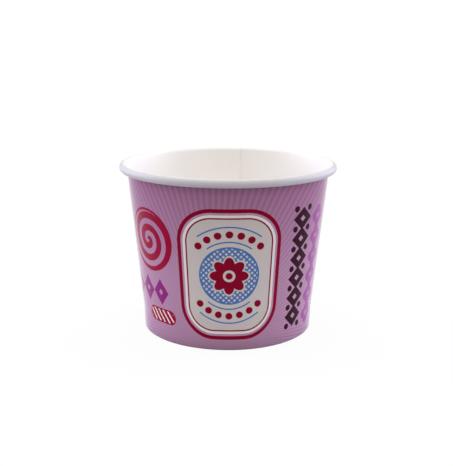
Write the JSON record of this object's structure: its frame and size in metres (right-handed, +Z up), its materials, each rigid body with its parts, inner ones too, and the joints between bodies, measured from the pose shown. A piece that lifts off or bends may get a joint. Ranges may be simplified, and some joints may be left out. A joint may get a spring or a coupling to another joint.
{
  "type": "paper dessert cup",
  "caption": "Round paper tub for one large dessert: tapered board wall with a lapped side seam, rolled rim and turned foot, and a raised base.",
  "frame": {"origin": "centre of the foot ring, on the surface that the cup stands on", "axes": "+Z up along the cup's axis to its open mouth; -Y through the front of the print; +Y through the side seam"},
  "size_m": [0.097, 0.097, 0.075],
  "materials": {
    "printed_board": "printed outside, white inside, low sheen",
    "white_board": "coated white, low sheen"
  },
  "bodies": {
    "root": {"cup_wall": "printed_board", "cup_base": "white_board"}
  },
  "joints": []
}
